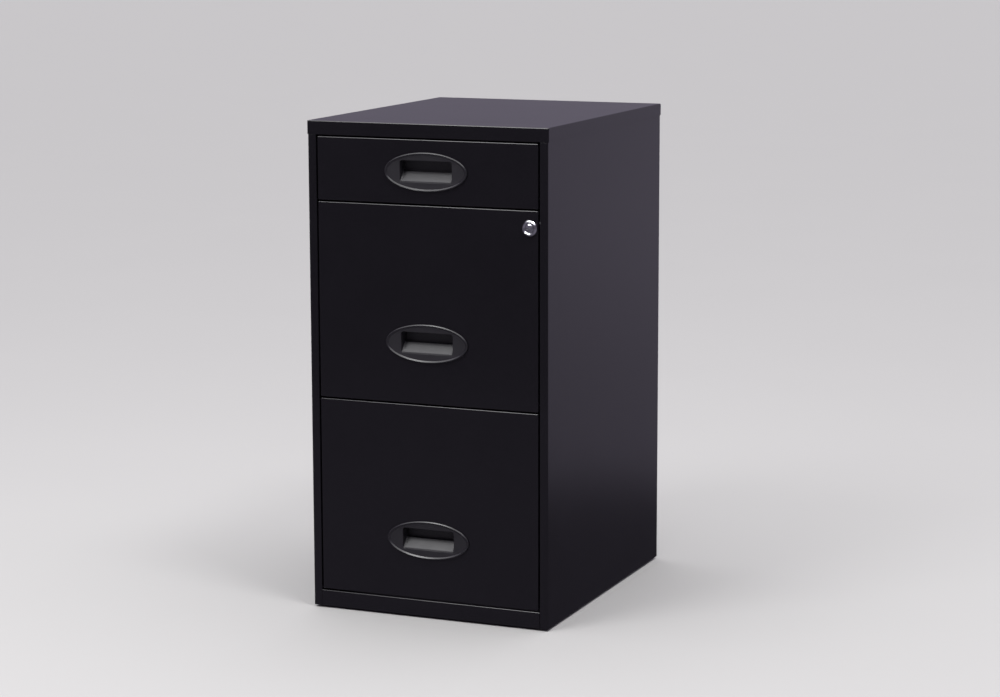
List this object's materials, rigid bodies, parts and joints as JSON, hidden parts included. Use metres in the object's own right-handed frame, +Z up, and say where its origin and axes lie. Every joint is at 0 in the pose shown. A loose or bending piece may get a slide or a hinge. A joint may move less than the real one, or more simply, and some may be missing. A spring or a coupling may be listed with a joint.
{
  "type": "three-drawer steel filing cabinet",
  "caption": "Narrow black steel filing cabinet: a shallow box drawer over deep letter-size file drawers on roller slides, with oval recessed pulls and a cam lock.",
  "frame": {"origin": "on the floor, in the middle of the box round the whole cabinet", "axes": "+Z up, +X to the right as seen from the front, and the drawers open towards -Y"},
  "size_m": [0.362, 0.457, 0.697],
  "materials": {
    "black_enamel": "semi-gloss black baked enamel with a fine orange peel",
    "zinc_plate": "zinc plated, satin",
    "white_nylon": "moulded nylon, satin",
    "black_plastic": "moulded black plastic, satin",
    "chrome": "bright plated"
  },
  "bodies": {
    "case": {"case_top": "black_enamel", "case_side_left": "black_enamel", "case_side_right": "black_enamel", "case_back": "black_enamel", "case_base_rail": "black_enamel", "floor_glide_front_left": "black_plastic", "floor_glide_front_right": "black_plastic", "floor_glide_rear_left": "black_plastic", "floor_glide_rear_right": "black_plastic", "top_runner_left": "zinc_plate", "top_runner_right": "zinc_plate", "middle_runner_left": "zinc_plate", "middle_runner_right": "zinc_plate", "bottom_runner_left": "zinc_plate", "bottom_runner_right": "zinc_plate"},
    "top_drawer": {"top_drawer_front": "black_enamel", "top_drawer_tray": "black_enamel", "top_drawer_back": "black_enamel", "top_drawer_pull": "black_plastic", "top_drawer_rail_left": "zinc_plate", "top_drawer_rail_right": "zinc_plate"},
    "middle_drawer": {"middle_drawer_front": "black_enamel", "middle_drawer_tray": "black_enamel", "middle_drawer_back": "black_enamel", "middle_drawer_pull": "black_plastic", "middle_drawer_rail_left": "zinc_plate", "middle_drawer_rail_right": "zinc_plate", "lock_housing": "chrome", "lock_nut": "zinc_plate"},
    "bottom_drawer": {"bottom_drawer_front": "black_enamel", "bottom_drawer_tray": "black_enamel", "bottom_drawer_back": "black_enamel", "bottom_drawer_pull": "black_plastic", "bottom_drawer_rail_left": "zinc_plate", "bottom_drawer_rail_right": "zinc_plate"},
    "top_runner_roller_left": {"top_runner_roller_left": "white_nylon"},
    "top_drawer_roller_left": {"top_drawer_roller_left": "white_nylon"},
    "top_runner_roller_right": {"top_runner_roller_right": "white_nylon"},
    "top_drawer_roller_right": {"top_drawer_roller_right": "white_nylon"},
    "middle_runner_roller_left": {"middle_runner_roller_left": "white_nylon"},
    "middle_drawer_roller_left": {"middle_drawer_roller_left": "white_nylon"},
    "middle_runner_roller_right": {"middle_runner_roller_right": "white_nylon"},
    "middle_drawer_roller_right": {"middle_drawer_roller_right": "white_nylon"},
    "bottom_runner_roller_left": {"bottom_runner_roller_left": "white_nylon"},
    "bottom_drawer_roller_left": {"bottom_drawer_roller_left": "white_nylon"},
    "bottom_runner_roller_right": {"bottom_runner_roller_right": "white_nylon"},
    "bottom_drawer_roller_right": {"bottom_drawer_roller_right": "white_nylon"},
    "lock_core": {"lock_plug": "chrome", "lock_cam": "zinc_plate", "lock_cam_screw": "zinc_plate"}
  },
  "joints": [
    {"name": "top_drawer_slide", "type": "slide", "parent": "case", "child": "top_drawer", "axis": [0, -1, 0], "range_m": [0, 0.305]},
    {"name": "middle_drawer_slide", "type": "slide", "parent": "case", "child": "middle_drawer", "axis": [0, -1, 0], "range_m": [0, 0.305]},
    {"name": "bottom_drawer_slide", "type": "slide", "parent": "case", "child": "bottom_drawer", "axis": [0, -1, 0], "range_m": [0, 0.305]},
    {"name": "top_runner_roller_left_spin", "type": "hinge", "parent": "case", "child": "top_runner_roller_left", "pos_m": [-0.1605, -0.1945, 0.6016], "axis": [1, 0, 0], "range_deg": [0, 2190]},
    {"name": "top_drawer_roller_left_spin", "type": "hinge", "parent": "top_drawer", "child": "top_drawer_roller_left", "pos_m": [-0.172, 0.19, 0.6016], "axis": [1, 0, 0], "range_deg": [0, 2190]},
    {"name": "top_runner_roller_right_spin", "type": "hinge", "parent": "case", "child": "top_runner_roller_right", "pos_m": [0.1605, -0.1945, 0.6016], "axis": [1, 0, 0], "range_deg": [0, 2190]},
    {"name": "top_drawer_roller_right_spin", "type": "hinge", "parent": "top_drawer", "child": "top_drawer_roller_right", "pos_m": [0.172, 0.19, 0.6016], "axis": [1, 0, 0], "range_deg": [0, 2190]},
    {"name": "middle_runner_roller_left_spin", "type": "hinge", "parent": "case", "child": "middle_runner_roller_left", "pos_m": [-0.1605, -0.1945, 0.32245], "axis": [1, 0, 0], "range_deg": [0, 2190]},
    {"name": "middle_drawer_roller_left_spin", "type": "hinge", "parent": "middle_drawer", "child": "middle_drawer_roller_left", "pos_m": [-0.172, 0.19, 0.32245], "axis": [1, 0, 0], "range_deg": [0, 2190]},
    {"name": "middle_runner_roller_right_spin", "type": "hinge", "parent": "case", "child": "middle_runner_roller_right", "pos_m": [0.1605, -0.1945, 0.32245], "axis": [1, 0, 0], "range_deg": [0, 2190]},
    {"name": "middle_drawer_roller_right_spin", "type": "hinge", "parent": "middle_drawer", "child": "middle_drawer_roller_right", "pos_m": [0.172, 0.19, 0.32245], "axis": [1, 0, 0], "range_deg": [0, 2190]},
    {"name": "bottom_runner_roller_left_spin", "type": "hinge", "parent": "case", "child": "bottom_runner_roller_left", "pos_m": [-0.1605, -0.1945, 0.0433], "axis": [1, 0, 0], "range_deg": [0, 2190]},
    {"name": "bottom_drawer_roller_left_spin", "type": "hinge", "parent": "bottom_drawer", "child": "bottom_drawer_roller_left", "pos_m": [-0.172, 0.19, 0.0433], "axis": [1, 0, 0], "range_deg": [0, 2190]},
    {"name": "bottom_runner_roller_right_spin", "type": "hinge", "parent": "case", "child": "bottom_runner_roller_right", "pos_m": [0.1605, -0.1945, 0.0433], "axis": [1, 0, 0], "range_deg": [0, 2190]},
    {"name": "bottom_drawer_roller_right_spin", "type": "hinge", "parent": "bottom_drawer", "child": "bottom_drawer_roller_right", "pos_m": [0.172, 0.19, 0.0433], "axis": [1, 0, 0], "range_deg": [0, 2190]},
    {"name": "lock_turn", "type": "hinge", "parent": "middle_drawer", "child": "lock_core", "pos_m": [0.1535, -0.2245, 0.56075], "axis": [0, -1, 0], "range_deg": [0, 90]}
  ],
  "couplings": [
    {"joint": "top_runner_roller_left_spin", "follows": "top_drawer_slide", "rad_per_m": 125},
    {"joint": "top_drawer_roller_left_spin", "follows": "top_drawer_slide", "rad_per_m": 125},
    {"joint": "top_runner_roller_right_spin", "follows": "top_drawer_slide", "rad_per_m": 125},
    {"joint": "top_drawer_roller_right_spin", "follows": "top_drawer_slide", "rad_per_m": 125},
    {"joint": "middle_runner_roller_left_spin", "follows": "middle_drawer_slide", "rad_per_m": 125},
    {"joint": "middle_drawer_roller_left_spin", "follows": "middle_drawer_slide", "rad_per_m": 125},
    {"joint": "middle_runner_roller_right_spin", "follows": "middle_drawer_slide", "rad_per_m": 125},
    {"joint": "middle_drawer_roller_right_spin", "follows": "middle_drawer_slide", "rad_per_m": 125},
    {"joint": "bottom_runner_roller_left_spin", "follows": "bottom_drawer_slide", "rad_per_m": 125},
    {"joint": "bottom_drawer_roller_left_spin", "follows": "bottom_drawer_slide", "rad_per_m": 125},
    {"joint": "bottom_runner_roller_right_spin", "follows": "bottom_drawer_slide", "rad_per_m": 125},
    {"joint": "bottom_drawer_roller_right_spin", "follows": "bottom_drawer_slide", "rad_per_m": 125}
  ]
}
